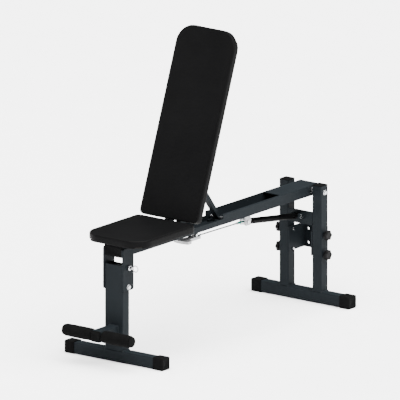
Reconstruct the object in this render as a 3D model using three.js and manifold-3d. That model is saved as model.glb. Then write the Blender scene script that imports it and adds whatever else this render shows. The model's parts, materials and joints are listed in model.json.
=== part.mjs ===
// Adjustable weight bench: a rectangular tube beam on a front post and a twin-post rear stand,
// a reclining backrest with a strut that drops into a notched rack, a foot hold with foam rollers,
// and a lockable gas spring between the rear stand and the beam, released by a hand lever.
// Millimetres. X across the bench, Y from the foot end to the rear, Z up, floor at Z = 0.
import * as THREE from 'three';
import { mergeVertices } from 'three/addons/utils/BufferGeometryUtils.js';
import Module from 'manifold-3d';

const wasm = await Module();
wasm.setup();

// ---- driving dimensions -------------------------------------------------------------------------
const TUBE = 40;                 // square tube of the crossbars, rear posts and foot arm
const WALL = 3;                  // wall of every tube
const TUBE_RADIUS = 4;           // outer corner radius of the tubes
const WHEELBASE = 1070;          // distance between the two crossbars
const BAR_LENGTH = 425;          // crossbar tube
const CAP_WALL = 3;              // wall of the rubber end caps around the crossbars
const CAP_LENGTH = 42;           // how far an end cap reaches along the crossbar
const CAP_END = 5;               // thickness of the end caps' closed ends
const WIDE = 80;                 // width of the beam and of the front post
const BEAM_BOTTOM = 382;
const BEAM_REAR_OVERHANG = 30;   // beam behind the rear posts' centre line
const CLEARANCE = 0.4;           // round running gap between a shaft and its hole
const GAP = 0.3;                 // gap between pieces inside a turned group
const BOLT_R = 5.8;
const HEAD_R = 9;
const HEAD_H = 6;
const PLATE = 5;                 // ears, brackets and flanges

const POST_SPACE = 106;          // clear width between the rear posts
const POST_ABOVE_BEAM = 3;       // rear posts above the beam's top
const POST_CAP_H = 4;
const KNOB_R = 19;
const KNOB_LEVELS = [177, 248];  // heights of the clamp knobs

const POST_DROP = 30;            // front post's top below the beam
const EAR_DROP = 122;            // ears below the beam
const EAR_LAP = 32;              // ears up the beam's sides
const EAR_FRONT = -23;
const EAR_REAR = 37;
const EAR_BOLT_DROPS = [109, 39]; // bolt and lock pin below the beam

const ARM_REACH = 126;           // front of the foot arm, ahead of the front post's centre line
const AXLE_Y = -107;
const AXLE_Z = 113;
const AXLE_R = 6;
const ROLLER_R = 22;
const ROLLER_GAP = 1.7;           // between a roller's inner end and the foot arm
const DISC_THICK = 4;            // end discs outside the rollers
const FOOT_SPAN = 300;           // over both foam rollers' end discs

const PAD_WIDTH = 258;
const PAD_THICK = 27;
const PAD_CORNER = 68;
const SEAT_FRONT = -38;
const SEAT_REAR = 287;
const BOARD_THICK = 10;
const BOARD_INSET = 8;
const SUPPORT_THICK = 4;

const BACK_PIVOT_Y = 325;
const BACK_ANGLE = 70;           // backrest from the horizontal, in degrees
const BACK_START = 38;           // from the pivot to the backrest's lower edge
const BACK_END_GAP = 1;          // from the flat backrest's end to the rear posts
const RAIL_W = 20;
const RAIL_H = 30;
const RAIL_DROP = 10;            // rail below the pivot, square to the backrest
const RAIL_TAIL = 12;            // rail beyond the pivot
const RAIL_REACH = 495;
const RAIL_SPACE = 30;           // clear width between the rails

const STRUT_PIVOT = 238;         // from the back pivot, along the rails
const FOOT_Y = 578;              // strut foot in the first notch
const FOOT_DROP = 2;             // strut foot below the beam's mid height
const STRUT_W = 20;
const STRUT_T = 15;
const NOTCH_COUNT = 7;
const OPENING_FRONT = 296;
const OPENING_REAR = 885;
const RELIEF_FRONT = 360;
const RELIEF_REAR = 557;
const RELIEF_DEPTH = 18;

const SPRING_FRONT_BACK = 336;   // gas spring's front pivot ahead of the rear posts' centre line
const SPRING_FRONT_DROP = 30;    // and below the beam
const SPRING_REAR_BACK = 37;     // its rear pivot ahead of the same line
const SPRING_REAR_DROP = 72;
const SPRING_R = 11;
const ROD_R = 5;
const SPRING_PIN_R = 4;

const LEVER_DROP = 25;           // lever plate below the beam
const LEVER_PIVOT_Y = 432;
const LEVER_FRONT = 72;          // paddle's front ahead of the pivot
const LEVER_REAR = 38;           // arm's rear end behind it
const LEVER_PADDLE = 32;         // paddle's length along the bench
const LEVER_DEPTH = 10;          // rim of the pressed lever
const LEVER_SHEET = 3;
const CABLE_R = 2.4;

const BRACKET_DEPTH = 91;        // accessory bracket, from the posts' front faces
const BRACKET_LEVELS = [171, 258];
const BRACKET_HOLE_R = 5;
const BRACKET_HOLE_X = 30;
const BRACKET_HOLE_Z = [187, 238];

// ---- values worked out from the driving dimensions ----------------------------------------------
const BEAM_TOP = BEAM_BOTTOM + TUBE;
const BEAM_MID = BEAM_BOTTOM + TUBE / 2;
const POST_TOP = BEAM_TOP + POST_ABOVE_BEAM;
const FRONT_POST_TOP = BEAM_BOTTOM - POST_DROP;
const EAR_LOW = BEAM_BOTTOM - EAR_DROP;
const EAR_TOP = BEAM_BOTTOM + EAR_LAP;
const EAR_BOLT_LEVELS = EAR_BOLT_DROPS.map((drop) => BEAM_BOTTOM - drop);
const FOOT_Z = BEAM_MID - FOOT_DROP;
const SPRING_FRONT = [WHEELBASE - SPRING_FRONT_BACK, BEAM_BOTTOM - SPRING_FRONT_DROP];
const SPRING_REAR = [WHEELBASE - SPRING_REAR_BACK, BEAM_BOTTOM - SPRING_REAR_DROP];
const LEVER_Z = BEAM_BOTTOM - LEVER_DROP;
const FRONT_REACH = AXLE_Y - ROLLER_R;
const REAR_REACH = WHEELBASE - TUBE / 2 + BRACKET_DEPTH;
const CENTRE_SHIFT = (FRONT_REACH + REAR_REACH) / 2; // puts the origin at the footprint's middle
const BAR_BOTTOM = CAP_WALL;
const BAR_TOP = BAR_BOTTOM + TUBE;
const POST_X = (POST_SPACE + TUBE) / 2;
const POST_OUTER = POST_SPACE / 2 + TUBE;
const CHANNEL_HALF = WIDE / 2 - WALL;
const BACK_LENGTH = WHEELBASE - TUBE / 2 - BACK_END_GAP - BACK_PIVOT_Y - BACK_START;
const BACK_RAD = THREE.MathUtils.degToRad(BACK_ANGLE);
const STRUT_TOP = [
  BACK_PIVOT_Y + STRUT_PIVOT * Math.cos(BACK_RAD),
  BEAM_MID + STRUT_PIVOT * Math.sin(BACK_RAD),
];
const STRUT_LENGTH = Math.hypot(FOOT_Y - STRUT_TOP[0], STRUT_TOP[1] - FOOT_Z);
const STRUT_DIP = Math.atan2(STRUT_TOP[1] - FOOT_Z, FOOT_Y - STRUT_TOP[0]);
const FLAT_FOOT_Y = BACK_PIVOT_Y + STRUT_PIVOT + Math.sqrt(STRUT_LENGTH ** 2 - (BEAM_MID - FOOT_Z) ** 2);
const SPRING_LENGTH = Math.hypot(SPRING_REAR[0] - SPRING_FRONT[0], SPRING_REAR[1] - SPRING_FRONT[1]);
const SPRING_TILT = Math.atan2(SPRING_REAR[1] - SPRING_FRONT[1], SPRING_REAR[0] - SPRING_FRONT[0]);

// ---- finishes -----------------------------------------------------------------------------------
const FINISHES = {
  frame: [0x3a4147, 0.55, 0.35],
  rubber: [0x141414, 0.75, 0],
  vinyl: [0x111111, 0.55, 0],
  foam: [0x0d0d0d, 0.9, 0],
  steel: [0xb9bcc0, 0.3, 0.9],
  black_steel: [0x101012, 0.35, 0.5],
  board: [0x8a6d48, 0.8, 0],
  teal: [0x1e7a6c, 0.5, 0],
};

const bench = new THREE.Group();
bench.position.set(0, -CENTRE_SHIFT, 0);

function place(name, finish, geometry, parent = bench) {
  const [color, roughness, metalness] = FINISHES[finish];
  const mesh = new THREE.Mesh(geometry, new THREE.MeshStandardMaterial({ color, roughness, metalness }));
  mesh.name = name;
  parent.add(mesh);
  return mesh;
}

// ---- shape helpers ------------------------------------------------------------------------------
function toSolid(geometry) {
  const bare = geometry.clone();
  bare.deleteAttribute('normal');
  bare.deleteAttribute('uv');
  const merged = mergeVertices(bare, 1e-4);
  return new wasm.Manifold(new wasm.Mesh({
    numProp: 3,
    vertProperties: new Float32Array(merged.attributes.position.array),
    triVerts: new Uint32Array(merged.index.array),
  }));
}

function toGeometry(solid) {
  const mesh = solid.getMesh();
  const geometry = new THREE.BufferGeometry();
  geometry.setAttribute('position', new THREE.BufferAttribute(new Float32Array(mesh.vertProperties), 3));
  geometry.setIndex(new THREE.BufferAttribute(new Uint32Array(mesh.triVerts), 1));
  return geometry;
}

const cut = (body, tools) => toGeometry(tools.reduce((left, tool) => left.subtract(toSolid(tool)), toSolid(body)));
const join = (pieces) => toGeometry(pieces.slice(1).reduce((sum, piece) => sum.add(toSolid(piece)), toSolid(pieces[0])));

// A block given by its low and high corners.
function block(low, high) {
  const size = low.map((value, i) => high[i] - value);
  return new THREE.BoxGeometry(...size).translate(...low.map((value, i) => value + size[i] / 2));
}

// A round bar along one axis, from one coordinate to another, centred at the two other coordinates.
function bar(axis, radius, from, to, a, b, sides = 16) {
  const geometry = new THREE.CylinderGeometry(radius, radius, to - from, sides);
  if (axis === 'x') return geometry.rotateZ(-Math.PI / 2).translate((from + to) / 2, a, b);
  if (axis === 'y') return geometry.translate(a, (from + to) / 2, b);
  return geometry.rotateX(Math.PI / 2).translate(a, b, (from + to) / 2);
}

// A closed outline with rounded corners; radii run counter-clockwise from the low corner.
function roundedOutline(path, low, high, radii) {
  const [x0, y0] = low;
  const [x1, y1] = high;
  const [r0, r1, r2, r3] = radii;
  path.moveTo(x0 + r0, y0);
  path.lineTo(x1 - r1, y0);
  path.absarc(x1 - r1, y0 + r1, r1, -Math.PI / 2, 0, false);
  path.lineTo(x1, y1 - r2);
  path.absarc(x1 - r2, y1 - r2, r2, 0, Math.PI / 2, false);
  path.lineTo(x0 + r3, y1);
  path.absarc(x0 + r3, y1 - r3, r3, Math.PI / 2, Math.PI, false);
  path.lineTo(x0, y0 + r0);
  path.absarc(x0 + r0, y0 + r0, r0, Math.PI, 1.5 * Math.PI, false);
  return path;
}

const roundedShape = (low, high, radii) => roundedOutline(new THREE.Shape(), low, high, radii);

function extrude(shape, depth, curveSegments = 3) {
  return new THREE.ExtrudeGeometry(shape, { depth, bevelEnabled: false, curveSegments });
}

// Turns an extrusion so that it runs along X (outline in Y, Z) or along Y (outline in X, Z).
const ALONG_X = new THREE.Matrix4().makeBasis(
  new THREE.Vector3(0, 1, 0), new THREE.Vector3(0, 0, 1), new THREE.Vector3(1, 0, 0));
const alongX = (geometry, x) => geometry.applyMatrix4(ALONG_X).translate(x, 0, 0);
const alongY = (geometry, yEnd) => geometry.rotateX(Math.PI / 2).translate(0, yEnd, 0);

// The outline of a rectangular tube, centred, with its hollow.
function tubeShape(width, height) {
  const shape = roundedShape([-width / 2, -height / 2], [width / 2, height / 2], Array(4).fill(TUBE_RADIUS));
  const inner = Array(4).fill(TUBE_RADIUS - WALL + 0.5);
  shape.holes.push(roundedOutline(new THREE.Path(), [WALL - width / 2, WALL - height / 2],
    [width / 2 - WALL, height / 2 - WALL], inner));
  return shape;
}

const tubeX = (width, height, x0, x1, y, z) => alongX(extrude(tubeShape(width, height), x1 - x0), x0).translate(0, y, z);
const tubeY = (width, height, y0, y1, x, z) => alongY(extrude(tubeShape(width, height), y1 - y0), y1).translate(x, 0, z);
const tubeZ = (width, depth, z0, z1, x, y) => extrude(tubeShape(width, depth), z1 - z0).translate(x, y, z0);

// A flat plate in the Y, Z plane with rounded corners and round holes given as [y, z, radius].
function sidePlate(low, high, radius, x0, x1, holes = []) {
  const plate = alongX(extrude(roundedShape(low, high, Array(4).fill(radius)), x1 - x0), x0);
  return holes.length ? cut(plate, holes.map(([y, z, r]) => bar('x', r, x0 - 1, x1 + 1, y, z))) : plate;
}

// A bolt along X: a shank between its two faces and a domed head outside each of them.
function bolt(x0, x1, y, z, radius = BOLT_R) {
  return join([
    bar('x', radius, x0 - 1, x1 + 1, y, z),
    bar('x', HEAD_R, x1, x1 + HEAD_H * 0.6, y, z),
    bar('x', HEAD_R * 0.7, x1 + HEAD_H * 0.5, x1 + HEAD_H, y, z),
    bar('x', HEAD_R, x0 - HEAD_H, x0, y, z, 6),
  ]);
}

// ---- floor crossbars ----------------------------------------------------------------------------
function crossbar(name, y) {
  const mid = BAR_BOTTOM + TUBE / 2;
  place(name, 'frame', tubeX(TUBE, TUBE, -BAR_LENGTH / 2, BAR_LENGTH / 2, y, mid));
  for (const [side, sign] of [['left', -1], ['right', 1]]) {
    const outer = TUBE / 2 + CAP_WALL;
    const shell = alongX(extrude(roundedShape([-outer, -outer], [outer, outer], Array(4).fill(6)),
      CAP_LENGTH), 0);
    const hollow = alongX(extrude(roundedShape([-TUBE / 2, -TUBE / 2], [TUBE / 2, TUBE / 2],
      Array(4).fill(TUBE_RADIUS)), CAP_LENGTH), -CAP_END);
    const cap = cut(shell, [hollow]);
    if (sign < 0) cap.rotateZ(Math.PI);
    const inside = BAR_LENGTH / 2 + CAP_END - CAP_LENGTH;
    place(`${name}_cap_${side}`, 'rubber', cap.translate(sign * inside, y, mid));
  }
}

// ---- front post and its ears --------------------------------------------------------------------
function frontPost() {
  const post = tubeZ(WIDE, TUBE, BAR_TOP, FRONT_POST_TOP, 0, 0);
  const ears = (EAR_FRONT + EAR_REAR) / 2;
  const holes = EAR_BOLT_LEVELS.map((z) => bar('x', BOLT_R + CLEARANCE, -WIDE, WIDE, ears, z));
  place('front_post', 'frame', cut(post, holes));
  const plateHoles = EAR_BOLT_LEVELS.map((z) => [ears, z, BOLT_R + CLEARANCE]);
  for (const [side, sign] of [['left', -1], ['right', 1]]) {
    const near = sign * WIDE / 2;
    const far = near + sign * PLATE;
    place(`post_ear_${side}`, 'frame', sidePlate([EAR_FRONT, EAR_LOW], [EAR_REAR, EAR_TOP], 8,
      Math.min(near, far), Math.max(near, far), plateHoles));
  }
  const face = WIDE / 2 + PLATE;
  place('ear_bolt', 'steel', bolt(-face, face, ears, EAR_BOLT_LEVELS[0]));
  place('lock_pin', 'steel', lockPin(face, ears, EAR_BOLT_LEVELS[1]));
}

// The quick-release pin: a shank through both ears, a collar, and a ring to pull it by.
function lockPin(face, y, z) {
  const ringRadius = 11;
  const neck = face + 20;
  const ring = new THREE.TorusGeometry(ringRadius, 2, 6, 16).rotateX(Math.PI / 2);
  return join([
    bar('x', BOLT_R, -face - 8, neck, y, z),
    bar('x', HEAD_R, face + GAP, face + 8, y, z),
    ring.translate(neck + ringRadius, y, z),
  ]);
}

// ---- foot hold ----------------------------------------------------------------------------------
function footHold() {
  const front = -ARM_REACH + CAP_END;
  const arm = tubeY(TUBE, TUBE, front, -TUBE / 2, 0, AXLE_Z);
  const hole = bar('x', AXLE_R, -TUBE, TUBE, AXLE_Y, AXLE_Z);
  place('foot_arm', 'frame', cut(arm, [hole]));
  const cover = alongY(extrude(roundedShape([-TUBE / 2, -TUBE / 2], [TUBE / 2, TUBE / 2],
    Array(4).fill(TUBE_RADIUS)), CAP_END), front).translate(0, 0, AXLE_Z);
  place('foot_arm_cap', 'rubber', cover);
  place('foot_axle', 'steel', bar('x', AXLE_R, 2 - FOOT_SPAN / 2, FOOT_SPAN / 2 - 2, AXLE_Y, AXLE_Z));
  for (const [side, sign] of [['left', -1], ['right', 1]]) {
    const outer = FOOT_SPAN / 2 - DISC_THICK - GAP;
    const ends = [sign * (TUBE / 2 + ROLLER_GAP), sign * outer].sort((a, b) => a - b);
    const foam = cut(bar('x', ROLLER_R, ends[0], ends[1], AXLE_Y, AXLE_Z, 24),
      [bar('x', AXLE_R + CLEARANCE, ends[0] - 1, ends[1] + 1, AXLE_Y, AXLE_Z)]);
    place(`foam_roller_${side}`, 'foam', foam);
    const faces = [sign * (outer + GAP), sign * FOOT_SPAN / 2].sort((a, b) => a - b);
    const cap = cut(bar('x', ROLLER_R - 2, faces[0], faces[1], AXLE_Y, AXLE_Z),
      [bar('x', AXLE_R, -FOOT_SPAN / 2 + 2, FOOT_SPAN / 2 - 2, AXLE_Y, AXLE_Z)]);
    place(`roller_disc_${side}`, 'rubber', cap);
  }
}

// ---- main beam ----------------------------------------------------------------------------------
function mainBeam() {
  const front = EAR_FRONT + CAP_END;
  const rear = WHEELBASE + BEAM_REAR_OVERHANG;
  const through = (y, z, r) => bar('x', r, -WIDE, WIDE, y, z);
  const tube = tubeY(WIDE, TUBE, front, rear, 0, BEAM_MID);
  place('main_beam', 'frame', cut(tube, [
    block([-CHANNEL_HALF, OPENING_FRONT, BEAM_MID], [CHANNEL_HALF, OPENING_REAR, BEAM_TOP + 1]),
    block([-WIDE, RELIEF_FRONT, BEAM_TOP - RELIEF_DEPTH], [WIDE, RELIEF_REAR, BEAM_TOP + 1]),
    through(BACK_PIVOT_Y, BEAM_MID, BOLT_R + CLEARANCE),
    through(WHEELBASE, BEAM_MID, BOLT_R + CLEARANCE),
  ]));
  place('beam_front_cap', 'rubber', alongY(extrude(roundedShape([-WIDE / 2, -TUBE / 2],
    [WIDE / 2, TUBE / 2], Array(4).fill(TUBE_RADIUS)), CAP_END), front).translate(0, 0, BEAM_MID));
  place('back_pivot_bolt', 'steel', bolt(-WIDE / 2, WIDE / 2, BACK_PIVOT_Y, BEAM_MID));
}

// Two notched strips on the channel's floor; the strut's foot drops into one pair of notches.
function racks() {
  const floor = BEAM_BOTTOM + WALL;
  const top = Math.min(FOOT_Z - BOLT_R, BEAM_MID - RAIL_DROP) - GAP;
  const depth = 5;
  const pitch = (FLAT_FOOT_Y - FOOT_Y) / (NOTCH_COUNT - 1);
  const half = BOLT_R + 1;
  for (const [side, sign] of [['left', -1], ['right', 1]]) {
    const shape = new THREE.Shape();
    shape.moveTo(FOOT_Y - 24, floor);
    shape.lineTo(FLAT_FOOT_Y + 24, floor);
    shape.lineTo(FLAT_FOOT_Y + 24, top);
    for (let i = NOTCH_COUNT - 1; i >= 0; i -= 1) {
      const y = FOOT_Y + i * pitch;
      shape.lineTo(y + half, top);
      shape.lineTo(y + half - 2, top - depth);
      shape.lineTo(y - half, top - depth);
      shape.lineTo(y - half, top);
    }
    shape.lineTo(FOOT_Y - 24, top);
    const x = sign > 0 ? 20 : -30;
    place(`strut_rack_${side}`, 'frame', alongX(extrude(shape, 10), x));
  }
}

// ---- seat ---------------------------------------------------------------------------------------
// A pad outline in X, Y: the two corners at one end are large, the two at the other end small.
function padOutline(y0, y1, inset, largeFirst) {
  const large = PAD_CORNER - inset;
  const small = 18 - inset;
  const radii = largeFirst ? [large, large, small, small] : [small, small, large, large];
  const half = PAD_WIDTH / 2 - inset;
  return roundedShape([-half, y0 + inset], [half, y1 - inset], radii);
}

// The upholstery: a pad with a recess underneath that the board fills.
function padWithBoard(names, y0, y1, z, largeFirst, parent) {
  const pad = extrude(padOutline(y0, y1, 0, largeFirst), PAD_THICK, 6).translate(0, 0, z);
  const recess = extrude(padOutline(y0, y1, BOARD_INSET, largeFirst), BOARD_THICK + GAP + 1, 6);
  place(names[0], 'vinyl', cut(pad, [recess.translate(0, 0, z - 1)]), parent);
  const board = extrude(padOutline(y0, y1, BOARD_INSET + GAP, largeFirst), BOARD_THICK, 6);
  place(names[1], 'board', board.translate(0, 0, z), parent);
}

function seat() {
  const low = BEAM_TOP;
  for (const [end, y] of [['front', 40], ['rear', 225]]) {
    place(`seat_support_${end}`, 'frame', block([-90, y - 20, low], [90, y + 20, low + SUPPORT_THICK]));
  }
  padWithBoard(['seat_cushion', 'seat_board'], SEAT_FRONT, SEAT_REAR, low + SUPPORT_THICK + GAP, true, bench);
}

// ---- backrest, modelled lying flat with its pivot at the group's origin ---------------------------
function backrest() {
  const group = new THREE.Group();
  group.position.set(0, BACK_PIVOT_Y, BEAM_MID);
  group.rotation.x = BACK_RAD;
  bench.add(group);
  const railTop = RAIL_H - RAIL_DROP;
  for (const [side, sign] of [['left', -1], ['right', 1]]) {
    const inner = sign * RAIL_SPACE / 2;
    const outer = sign * (RAIL_SPACE / 2 + RAIL_W);
    const rail = block([Math.min(inner, outer), -RAIL_TAIL, -RAIL_DROP],
      [Math.max(inner, outer), RAIL_REACH, railTop]);
    place(`back_rail_${side}`, 'frame', cut(rail, [
      bar('x', BOLT_R + CLEARANCE, -WIDE, WIDE, 0, 0),
      bar('x', BOLT_R + GAP, -WIDE, WIDE, STRUT_PIVOT, 0),
    ]), group);
  }
  const plateLow = railTop + GAP;
  for (const [end, y, half] of [['lower', 120, 100], ['upper', 430, 80]]) {
    place(`back_plate_${end}`, 'frame', block([-half, y - 20, plateLow],
      [half, y + 20, plateLow + SUPPORT_THICK]), group);
  }
  padWithBoard(['back_cushion', 'back_board'], BACK_START, BACK_START + BACK_LENGTH,
    plateLow + SUPPORT_THICK + GAP, false, group);
  const pinEnd = RAIL_SPACE / 2 + RAIL_W;
  place('strut_pin', 'steel', bar('x', BOLT_R, -pinEnd, pinEnd, STRUT_PIVOT, 0), group);
}

// The strut hangs from its pin between the rails; its group lies along the strut.
function strut() {
  const group = new THREE.Group();
  group.position.set(0, ...STRUT_TOP);
  group.rotation.x = -STRUT_DIP;
  bench.add(group);
  const body = sidePlate([-11, -STRUT_T / 2], [STRUT_LENGTH + 9, STRUT_T / 2], 7,
    -STRUT_W / 2, STRUT_W / 2, [[0, 0, BOLT_R + CLEARANCE], [STRUT_LENGTH, 0, BOLT_R + GAP]]);
  place('back_strut', 'frame', body, group);
  place('strut_foot_pin', 'steel', bar('x', BOLT_R, -32, 32, STRUT_LENGTH, 0), group);
}

// ---- rear stand ---------------------------------------------------------------------------------
function rearStand() {
  const y = WHEELBASE;
  for (const [side, sign] of [['left', -1], ['right', 1]]) {
    const x = sign * POST_X;
    const holes = KNOB_LEVELS.map((z) => bar('x', 4 + CLEARANCE, x - TUBE, x + TUBE, y, z));
    const top = bar('x', BOLT_R + CLEARANCE, x - TUBE, x + TUBE, y, BEAM_MID);
    place(`rear_post_${side}`, 'frame', cut(tubeZ(TUBE, TUBE, BAR_TOP, POST_TOP, x, y), [...holes, top]));
    const half = TUBE / 2;
    const plug = half - WALL - 1;
    place(`post_cap_${side}`, 'rubber', join([
      extrude(roundedShape([x - half, y - half], [x + half, y + half], Array(4).fill(TUBE_RADIUS)),
        POST_CAP_H).translate(0, 0, POST_TOP),
      block([x - plug, y - plug, POST_TOP - 10], [x + plug, y + plug, POST_TOP + 1]),
    ]));
    const edges = [sign * WIDE / 2, sign * POST_SPACE / 2].sort((a, b) => a - b);
    place(`beam_spacer_${side}`, 'steel', cut(bar('x', 13, edges[0] + 0.1, edges[1] - 0.1, y, BEAM_MID),
      [bar('x', BOLT_R + CLEARANCE, -POST_OUTER, POST_OUTER, y, BEAM_MID)]));
  }
  place('beam_bolt', 'steel', bolt(-POST_OUTER, POST_OUTER, y, BEAM_MID));
}

// The plate across the posts that carries the gas spring's rear pivot between two ears.
function springCrossPlate() {
  const front = WHEELBASE - TUBE / 2;
  const half = POST_SPACE / 2;
  const [pinY, pinZ] = SPRING_REAR;
  const ear = (x0) => sidePlate([pinY - 13, pinZ - 12], [front + 2, pinZ + 12], 5, x0, x0 + PLATE,
    [[pinY, pinZ, SPRING_PIN_R + GAP]]);
  place('spring_cross_plate', 'frame', join([
    block([-half, front, 280], [half, front + PLATE, 328]),
    ear(12),
    ear(-12 - PLATE),
  ]));
  place('spring_rear_pin', 'steel', join([
    bar('x', SPRING_PIN_R, -19, 19, pinY, pinZ),
    bar('x', 7, 17 + GAP, 21, pinY, pinZ),
    bar('x', 7, -21, -17 - GAP, pinY, pinZ),
  ]));
}

// The accessory bracket: two flanges inside the posts and a web with four holes behind them.
function accessoryBracket() {
  const front = WHEELBASE - TUBE / 2;
  const rear = front + BRACKET_DEPTH;
  const half = POST_SPACE / 2;
  const [low, high] = BRACKET_LEVELS;
  const shape = new THREE.Shape();
  shape.moveTo(-half, front);
  shape.lineTo(-half + PLATE, front);
  shape.lineTo(-half + PLATE, rear - PLATE);
  shape.lineTo(half - PLATE, rear - PLATE);
  shape.lineTo(half - PLATE, front);
  shape.lineTo(half, front);
  shape.lineTo(half, rear);
  shape.lineTo(-half, rear);
  shape.closePath();
  const tools = KNOB_LEVELS.map((z) => bar('x', 4 + CLEARANCE, -half - 1, half + 1, WHEELBASE, z));
  for (const x of [-BRACKET_HOLE_X, BRACKET_HOLE_X]) {
    for (const z of BRACKET_HOLE_Z) {
      tools.push(bar('y', BRACKET_HOLE_R, rear - 2 * PLATE, rear + 1, x, z));
    }
  }
  place('accessory_bracket', 'frame', cut(extrude(shape, high - low).translate(0, 0, low), tools));
}

// A star knob with its threaded stud through the post and the bracket's flange.
function clampKnobs() {
  for (const [side, sign] of [['left', -1], ['right', 1]]) {
    KNOB_LEVELS.forEach((z, level) => {
      const star = new THREE.Shape();
      const lobes = 6;
      for (let i = 0; i < 36; i += 1) {
        const turn = (i / 36) * 2 * Math.PI;
        const r = KNOB_R - 1.6 + 1.6 * Math.cos(lobes * turn);
        if (i === 0) star.moveTo(r, 0);
        else star.lineTo(r * Math.cos(turn), r * Math.sin(turn));
      }
      star.closePath();
      const head = alongX(extrude(star, 14), 7);
      const knob = join([
        head,
        bar('x', 10, GAP, 8, 0, 0),
        bar('x', 4, -TUBE - PLATE - 6, 1, 0, 0, 12),
      ]);
      if (sign < 0) knob.rotateZ(Math.PI);
      const name = `clamp_knob_${side}_${level === 0 ? 'lower' : 'upper'}`;
      place(name, 'rubber', knob.translate(sign * POST_OUTER, WHEELBASE, z));
    });
  }
}

// ---- gas spring and its release ------------------------------------------------------------------
function gasSpring() {
  const group = new THREE.Group();
  group.position.set(0, ...SPRING_FRONT);
  group.rotation.x = SPRING_TILT;
  bench.add(group);
  const headEnd = 22;
  const bodyStart = 26;
  place('spring_head', 'steel', cut(sidePlate([-13, -12], [headEnd, 12], 5, -9, 9),
    [bar('x', SPRING_PIN_R + GAP, -20, 20, 0, 0)]), group);
  place('spring_rod', 'steel', bar('y', ROD_R, headEnd, 215, 0, 0), group);
  const cylinder = join([
    bar('y', SPRING_R, bodyStart, SPRING_LENGTH - 14, 0, 0, 20),
    sidePlate([SPRING_LENGTH - 18, -9], [SPRING_LENGTH + 10, 9], 8, -8, 8),
  ]);
  place('spring_cylinder', 'black_steel', cut(cylinder, [
    bar('y', ROD_R + CLEARANCE, bodyStart - 1, 225, 0, 0),
    bar('x', SPRING_PIN_R + 2.6, -20, 20, SPRING_LENGTH, 0),
  ]), group);
}

function springFrontBracket() {
  const [y, z] = SPRING_FRONT;
  const ear = (x0) => sidePlate([y - 14, z - 12], [y + 14, BEAM_BOTTOM - 2], 5, x0, x0 + 4,
    [[y, z, SPRING_PIN_R + GAP]]);
  place('spring_front_bracket', 'frame', join([
    block([-26, y - 22, BEAM_BOTTOM - 4], [26, y + 22, BEAM_BOTTOM]),
    ear(9.5),
    ear(-13.5),
  ]));
  place('spring_front_pin', 'steel', join([
    bar('x', SPRING_PIN_R, -15, 15, y, z),
    bar('x', 6.5, 13.5 + GAP, 17, y, z),
    bar('x', 6.5, -17, -13.5 - GAP, y, z),
  ]));
}

// The lever's outline, shrunk by an inset: a paddle at the front and an arm back to the cable.
function leverShape(inset) {
  const front = LEVER_PIVOT_Y - LEVER_FRONT + inset;
  const step = front + LEVER_PADDLE - 2 * inset;
  const rear = LEVER_PIVOT_Y + LEVER_REAR - inset;
  const arm = 14 - inset;
  const paddle = 32 - inset;
  const shape = new THREE.Shape();
  shape.moveTo(-paddle, front + 6);
  shape.quadraticCurveTo(0, front - 6, paddle, front + 6);
  shape.quadraticCurveTo(paddle + 4, step - 8, paddle - 4, step);
  shape.quadraticCurveTo(arm, step + 3, arm, step + 14);
  shape.lineTo(arm, rear - 8);
  shape.quadraticCurveTo(0, rear + 4, -arm, rear - 8);
  shape.lineTo(-arm, step + 14);
  shape.quadraticCurveTo(-arm, step + 3, 4 - paddle, step);
  shape.quadraticCurveTo(-paddle - 4, step - 8, -paddle, front + 6);
  return shape;
}

// A pressed lever under the beam: a shallow tray with its rim turned down.
function releaseLever() {
  const top = LEVER_Z + 2;
  const tray = extrude(leverShape(0), LEVER_DEPTH).translate(0, 0, top - LEVER_DEPTH);
  const inside = extrude(leverShape(LEVER_SHEET), LEVER_DEPTH).translate(0, 0, top - LEVER_DEPTH - LEVER_SHEET);
  const plate = cut(tray, [inside]);
  const lug = (x0) => sidePlate([LEVER_PIVOT_Y - 8, LEVER_Z], [LEVER_PIVOT_Y + 8, LEVER_Z + 18], 5, x0, x0 + 3,
    [[LEVER_PIVOT_Y, LEVER_Z + 11, 3 + CLEARANCE]]);
  place('release_lever', 'steel', join([plate, lug(11), lug(-14)]));
  const ear = (x0) => sidePlate([LEVER_PIVOT_Y - 9, LEVER_Z + 3], [LEVER_PIVOT_Y + 9, BEAM_BOTTOM - 1], 4, x0, x0 + 3,
    [[LEVER_PIVOT_Y, LEVER_Z + 11, 3 + GAP]]);
  place('lever_bracket', 'frame', join([
    block([-22, LEVER_PIVOT_Y - 14, BEAM_BOTTOM - 3], [22, LEVER_PIVOT_Y + 14, BEAM_BOTTOM]),
    ear(14.6),
    ear(-17.6),
  ]));
  place('lever_pin', 'steel', join([
    bar('x', 3, -19, 19, LEVER_PIVOT_Y, LEVER_Z + 11, 16),
    bar('x', 5, 17.6 + GAP, 20, LEVER_PIVOT_Y, LEVER_Z + 11, 16),
    bar('x', 5, -20, -17.6 - GAP, LEVER_PIVOT_Y, LEVER_Z + 11, 16),
  ]));
}

// The release cable runs below the beam from the lever's arm to the fitting on the spring head.
const CABLE_POINTS = [
  [0, 468.6, 357], [0, 500, 357], [0, 550, 356.4], [0, 600, 355.8], [0, 650, 355], [0, 686, 354.4],
];

function releaseCable() {
  const route = new THREE.CatmullRomCurve3(CABLE_POINTS.map((p) => new THREE.Vector3(...p)));
  const section = new THREE.Shape();
  section.absarc(0, 0, CABLE_R, 0, 2 * Math.PI, false);
  const cable = new THREE.ExtrudeGeometry(section,
    { steps: 14, curveSegments: 4, extrudePath: route, bevelEnabled: false });
  place('release_cable', 'rubber', cable);
  const [, endY, endZ] = CABLE_POINTS[CABLE_POINTS.length - 1];
  place('cable_fitting', 'teal', join([
    bar('y', 4.5, endY + GAP, endY + 22, 0, endZ, 6),
    bar('y', 3, endY + 20, SPRING_FRONT[0] - 13.5, 0, endZ, 12),
  ]));
}

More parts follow.
